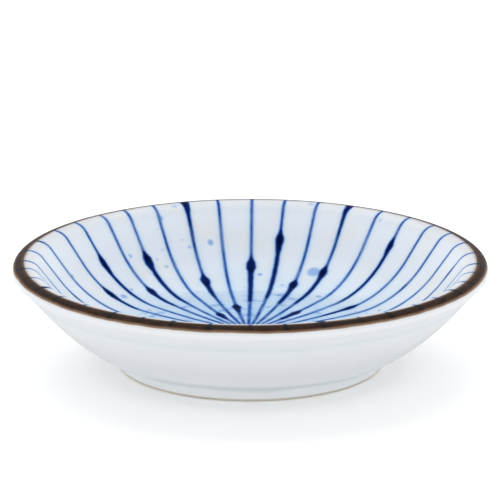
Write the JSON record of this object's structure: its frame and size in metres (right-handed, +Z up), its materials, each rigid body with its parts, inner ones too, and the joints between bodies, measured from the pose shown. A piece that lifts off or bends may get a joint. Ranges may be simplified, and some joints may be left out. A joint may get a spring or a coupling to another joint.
{
  "type": "soy sauce dish",
  "caption": "Small round porcelain dish with a shallow well, a brown glazed lip, a turned foot ring and radial cobalt brush strokes inside.",
  "frame": {"origin": "middle of the foot ring where it stands on the table", "axes": "+Z up along the dish's axis of revolution; -Y faces the viewer in the picture"},
  "size_m": [0.095, 0.095, 0.0213],
  "materials": {
    "bare_porcelain": "matte, unglazed",
    "inner_glaze": "glossy clear glaze over white",
    "cobalt": "glossy, cobalt blue under the glaze",
    "brown_glaze": "satin iron-brown glaze",
    "outer_glaze": "glossy white glaze"
  },
  "bodies": {
    "root": {"porcelain_body": "bare_porcelain", "inner_glaze": "inner_glaze", "painted_strokes": "cobalt", "rim_glaze": "brown_glaze", "outer_glaze": "outer_glaze", "base_glaze": "outer_glaze"}
  },
  "joints": []
}
